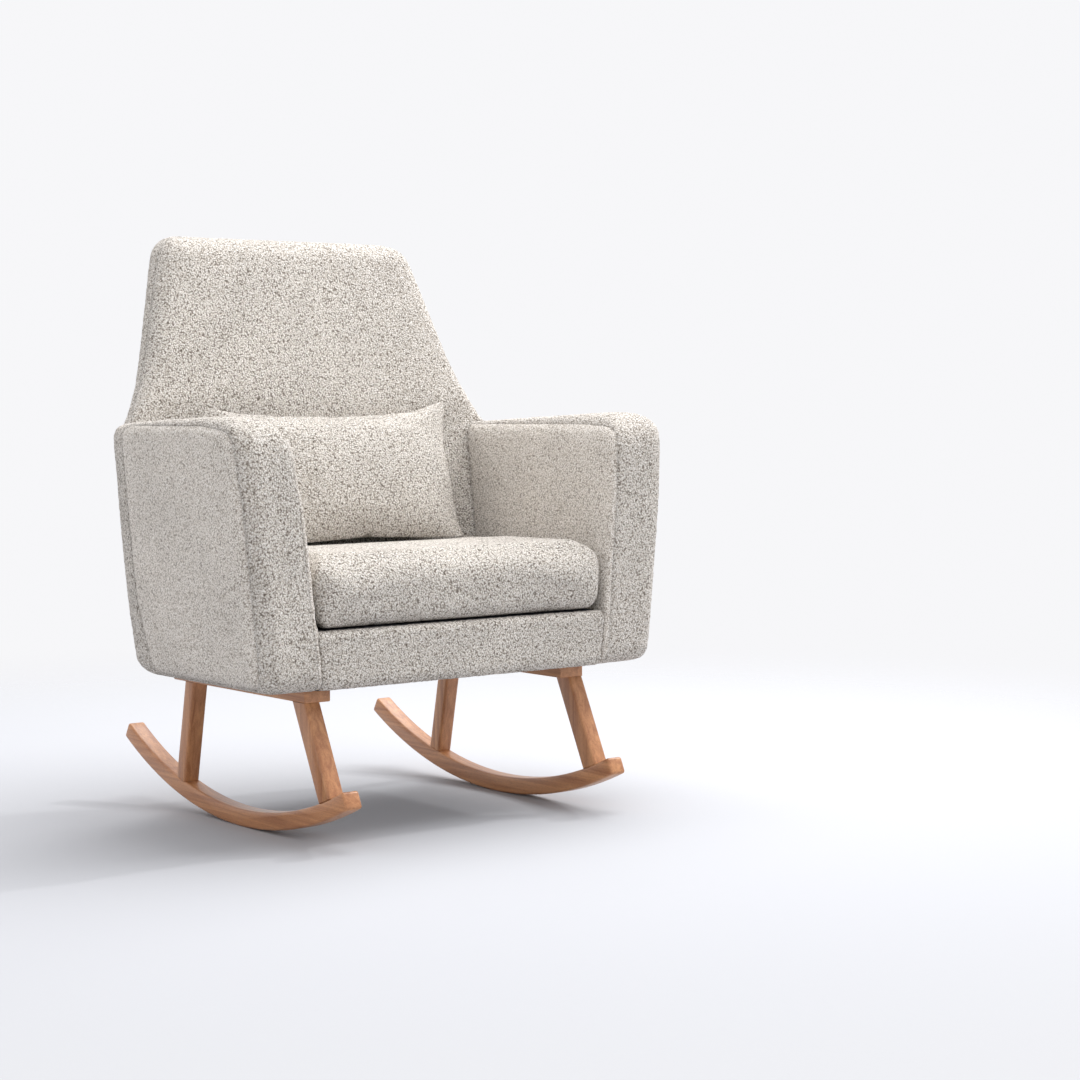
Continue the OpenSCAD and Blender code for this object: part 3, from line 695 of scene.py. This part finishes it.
def zip_teeth(name, start, end, up, outward, pitch):
    """A row of paired teeth along the tape, made by a geometry-node tree and turned to a plain mesh."""
    tree = bpy.data.node_groups.new(name, "GeometryNodeTree")
    for label, kind in (("Pitch", "NodeSocketFloat"), ("Tooth", "NodeSocketVector")):
        tree.interface.new_socket(label, in_out="INPUT", socket_type=kind)
    tree.interface.new_socket("Geometry", in_out="OUTPUT", socket_type="NodeSocketGeometry")
    given = tree.nodes.new("NodeGroupInput")
    result = tree.nodes.new("NodeGroupOutput")
    line = node(tree, "GeometryNodeCurvePrimitiveLine", {"Start": start, "End": end})
    spaced = node(tree, "GeometryNodeResampleCurve",
                  {"Curve": line.outputs["Curve"], "Length": given.outputs["Pitch"]}, mode="LENGTH")
    tooth = node(tree, "GeometryNodeMeshCube", {"Size": given.outputs["Tooth"]})
    number = node(tree, "GeometryNodeInputIndex")
    odd = node(tree, "ShaderNodeMath", {0: number.outputs["Index"], 1: 2.0}, operation="MODULO")
    shift = node(tree, "ShaderNodeMath", {0: odd.outputs["Value"], 1: 1.6 * MM, 2: -0.8 * MM},
                 operation="MULTIPLY_ADD")
    offset = node(tree, "ShaderNodeVectorMath", {0: up, "Scale": shift.outputs["Value"]}, operation="SCALE")
    moved = node(tree, "GeometryNodeSetPosition",
                 {"Geometry": spaced.outputs["Curve"], "Offset": offset.outputs["Vector"]})
    turn = Matrix((Vector(end) - Vector(start)).normalized()[:] and
                  [(Vector(end) - Vector(start)).normalized(), outward, up]).transposed().to_euler()
    laid = node(tree, "GeometryNodeInstanceOnPoints",
                {"Points": moved.outputs["Geometry"], "Instance": tooth.outputs["Mesh"],
                 "Rotation": tuple(turn)})
    real = node(tree, "GeometryNodeRealizeInstances", {"Geometry": laid.outputs["Instances"]})
    coated = node(tree, "GeometryNodeSetMaterial",
                  {"Geometry": real.outputs["Geometry"], "Material": MATERIALS["zip_metal"]})
    tree.links.new(coated.outputs["Geometry"], result.inputs["Geometry"])
    piece = link(name, bpy.data.meshes.new(name))
    row = piece.modifiers.new("Teeth", "NODES")
    row.node_group = tree
    sockets = {s.name: s.identifier for s in tree.interface.items_tree if s.in_out == "INPUT"}
    row[sockets["Pitch"]] = pitch
    row[sockets["Tooth"]] = (1.2 * MM, 0.9 * MM, 2.6 * MM)
    baked(piece)
    bpy.data.node_groups.remove(tree)
    return piece


# ---- Operators ----


class CHAIR_OT_materials(bpy.types.Operator):
    """Make the finishes and put them on the CAD nodes that stay in view"""
    bl_idname = "chair.materials"
    bl_label = "Materials"

    def execute(self, context):
        MATERIALS.update(make_materials())
        finishes = {"lacquered_beech": "beech_run", "boucle_fabric": "flat"}
        for entry in frame["record"]["subparts"]:
            made = frame["nodes"].get(entry["node"])
            if made is None:
                raise RuntimeError(f"no CAD node named {entry['node']}")
            slot = entry["material_slot"]
            finish = MATERIALS[finishes.get(slot, slot)]
            made.data.materials.clear()
            made.data.materials.append(finish)
        return {"FINISHED"}


class CHAIR_OT_body(bpy.types.Operator):
    """Upholster the arms and the back"""
    bl_idname = "chair.body"
    bl_label = "Arms and back"

    def execute(self, context):
        skin = dress_body()
        finish = {OUTER: "flat", BAND: "curled", INNER: "flat"}
        covers = {OUTER: "arm_outer_cover", BAND: "arm_band", INNER: "arm_inner_cover"}
        for side, sign in SIDES:
            for label, cover in covers.items():
                piece = take_panel(skin, f"{side}_{PANELS[label]}", label, sign)
                finish_on(piece, finish[label])
                nodes = [f"{side}_{cover}"] + ([f"{side}_arm_foam"] if label == BAND else [])
                settle(piece, "chair", "boucle_fabric", *nodes)
        for label, nodes in ((FRONT_BACK, ("inner_back_cover", "back_foam")), (REAR_BACK, ("outer_back_cover",))):
            piece = finish_on(take_panel(skin, PANELS[label], label), "curled")
            settle(piece, "chair", "boucle_fabric", *nodes)
        bpy.data.objects.remove(skin)
        return {"FINISHED"}


class CHAIR_OT_border(bpy.types.Operator):
    """Upholster the padded border under the seat cushion"""
    bl_idname = "chair.border"
    bl_label = "Front border"

    def execute(self, context):
        s = sizes()
        piece = remeshed("front_border_panel", ["front_border_cover", "front_border_foam"],
                         s.cloth_cell * 0.75, 8)
        add_loops(piece.data, s.loop_size, s.loop_height)
        finish_on(piece, "curled")
        settle(piece, "chair", "boucle_fabric", "front_border_cover", "front_border_foam")
        return {"FINISHED"}


class CHAIR_OT_cushions(bpy.types.Operator):
    """Fill the seat cushion and the lumbar pillow"""
    bl_idname = "chair.cushions"
    bl_label = "Cushions"

    def execute(self, context):
        s = sizes()
        rows = (("seat_cushion_pad", "seat_cushion", ("seat_cushion_cover", "seat_cushion_foam"),
                 s.cushion_cell, 20, s.cushion_swell, cushion_room, 0.85),
                ("lumbar_pillow_pad", "lumbar_pillow", ("pillow_cover", "pillow_filling"),
                 s.cushion_cell * 0.8, 3, s.pillow_swell, pillow_room, 0.6))
        for name, body, nodes, cell, rounds, swell, room, fill in rows:
            piece = filled(remeshed(name, nodes, cell, rounds), swell, room)
            if body == "lumbar_pillow":
                set_points(piece.data, room(pillow_shape(points(piece.data))))
            add_loops(piece.data, s.loop_size * 0.8, s.loop_height)
            set_points(piece.data, room(points(piece.data)))
            finish_on(piece, "curled")
            settle(piece, body, "boucle_fabric", *nodes)
        return {"FINISHED"}


class CHAIR_OT_base(bpy.types.Operator):
    """Shape the runners, legs and mounting rails"""
    bl_idname = "chair.base"
    bl_label = "Wooden base"

    def execute(self, context):
        kinds = (("rocker", "runner", runner_edge, "beech_run"), ("front_leg", "front_leg_post", leg_edge, "beech_leg"),
                 ("rear_leg", "rear_leg_post", leg_edge, "beech_leg"),
                 ("mounting_rail", "mounting_rail_bar", rail_edge, "beech_run"))
        for side, _ in SIDES:
            for cad, name, choose, finish in kinds:
                piece = eased(f"{side}_{name}", f"{side}_{cad}", choose)
                piece.data.materials.clear()
                piece.data.materials.append(MATERIALS[finish])
                settle(piece, "chair", "lacquered_beech", f"{side}_{cad}")
        return {"FINISHED"}


class CHAIR_OT_zips(bpy.types.Operator):
    """Set the teeth of the seat cushion's zip"""
    bl_idname = "chair.zips"
    bl_label = "Zips"

    def execute(self, context):
        pitch = sizes().tooth_pitch
        low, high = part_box("seat_cushion_zip")
        z = (low.z + high.z) / 2
        teeth = zip_teeth("seat_zip_teeth", (low.x + 4 * MM, high.y, z), (high.x - 4 * MM, high.y, z),
                          Vector((0, 0, 1)), Vector((0, 1, 0)), pitch)
        settle(teeth, "seat_cushion", "zip_metal")
        return {"FINISHED"}


class CHAIR_OT_stage(bpy.types.Operator):
    """Make the floor, the lights and the camera"""
    bl_idname = "chair.stage"
    bl_label = "Stage"

    def execute(self, context):
        bm = bmesh.new()
        bmesh.ops.create_grid(bm, x_segments=1, y_segments=1, size=30)
        floor = link("studio_floor", to_mesh(bm, "studio_floor"))
        material, tree = new_material("Matt studio paper")
        # The paper fades into the backdrop all round, so that no horizon shows
        where = node(tree, "ShaderNodeTexCoord")
        away = node(tree, "ShaderNodeVectorMath", {0: where.outputs["Object"]}, operation="LENGTH")
        fade = node(tree, "ShaderNodeMapRange", {"Value": away.outputs["Value"], "From Min": 0.8,
                                                 "From Max": 2.7, "To Min": 1.0, "To Max": 0.0},
                    interpolation_type="SMOOTHSTEP")
        finish_material(tree, {"Base Color": (*colours().floor, 1), "Roughness": 0.9,
                               "Specular IOR Level": 0.1, "Alpha": fade.outputs["Result"]})
        floor.data.materials.append(material)

        world = bpy.data.worlds.new("Soft studio")
        world.use_nodes = True
        world.node_tree.nodes["Background"].inputs["Color"].default_value = (*linear("#F9F9FB"), 1)
        world.node_tree.nodes["Background"].inputs["Strength"].default_value = 0.98
        context.scene.view_settings.view_transform = "Standard"
        context.scene.world = world

        key = bpy.data.lights.new("Window", "SUN")
        key.energy, key.angle = 0.65, math.radians(3)
        lamp = bpy.data.objects.new("Window", key)
        flow = Vector((-1, 0.1, 0)).normalized() * math.cos(math.radians(40))
        flow.z = -math.sin(math.radians(40))
        lamp.rotation_euler = flow.to_track_quat("-Z", "Y").to_euler()
        context.scene.collection.objects.link(lamp)

        box = bpy.data.lights.new("Softbox", "AREA")
        box.shape, box.size, box.energy = "SQUARE", 3.5, 172
        overhead = bpy.data.objects.new("Softbox", box)
        overhead.location = (1.2, 0.1, 3.2)
        overhead.rotation_euler = (Vector((0, 0, 0.4)) - overhead.location).to_track_quat("-Z", "Y").to_euler()
        context.scene.collection.objects.link(overhead)

        lens = bpy.data.cameras.new("Camera")
        lens.sensor_width, lens.lens = 36, 76.9
        camera = bpy.data.objects.new("Camera", lens)
        turn, rise, roll = (math.radians(a) for a in (-37.881, 3.485, -0.34))
        back = Vector((math.sin(turn) * math.cos(rise), -math.cos(turn) * math.cos(rise), math.sin(rise)))
        right = Vector((math.cos(turn), math.sin(turn), 0))
        up = back.cross(right)
        right, up = right * math.cos(roll) + up * math.sin(roll), up * math.cos(roll) - right * math.sin(roll)
        camera.matrix_world = Matrix.Translation((-2.102, -3.168, 0.668)) @ Matrix(
            (right, up, back)).transposed().to_4x4()
        context.scene.collection.objects.link(camera)
        context.scene.camera = camera
        return {"FINISHED"}


class CHAIR_PT_panel(bpy.types.Panel):
    """Shows the chair's sizes and colours, and a button for each step that makes it"""
    bl_label = "Rocking Chair"
    bl_idname = "CHAIR_PT_panel"
    bl_space_type = "VIEW_3D"
    bl_region_type = "UI"
    bl_category = "Rocking Chair"

    def draw(self, context):
        for group in context.scene.chair_sizes, context.scene.chair_colours:
            for key in group.__annotations__:
                self.layout.prop(group, key)
        for made in OPERATORS:
            self.layout.operator(made.bl_idname)


OPERATORS = (CHAIR_OT_stage, CHAIR_OT_materials, CHAIR_OT_base, CHAIR_OT_body, CHAIR_OT_border,
             CHAIR_OT_cushions, CHAIR_OT_zips)
CLASSES = (ChairSizes, ChairColours, *OPERATORS, CHAIR_PT_panel)


def register():
    for made in CLASSES:
        bpy.utils.register_class(made)
    bpy.types.Scene.chair_sizes = PointerProperty(type=ChairSizes)
    bpy.types.Scene.chair_colours = PointerProperty(type=ChairColours)


def unregister():
    del bpy.types.Scene.chair_colours
    del bpy.types.Scene.chair_sizes
    for made in reversed(CLASSES):
        bpy.utils.unregister_class(made)


def main():
    register()
    chair = bpy.ops.chair
    for step in (chair.stage, chair.materials, chair.base, chair.body, chair.border, chair.cushions,
                 chair.zips):
        step()


if __name__ == "__main__":
    main()
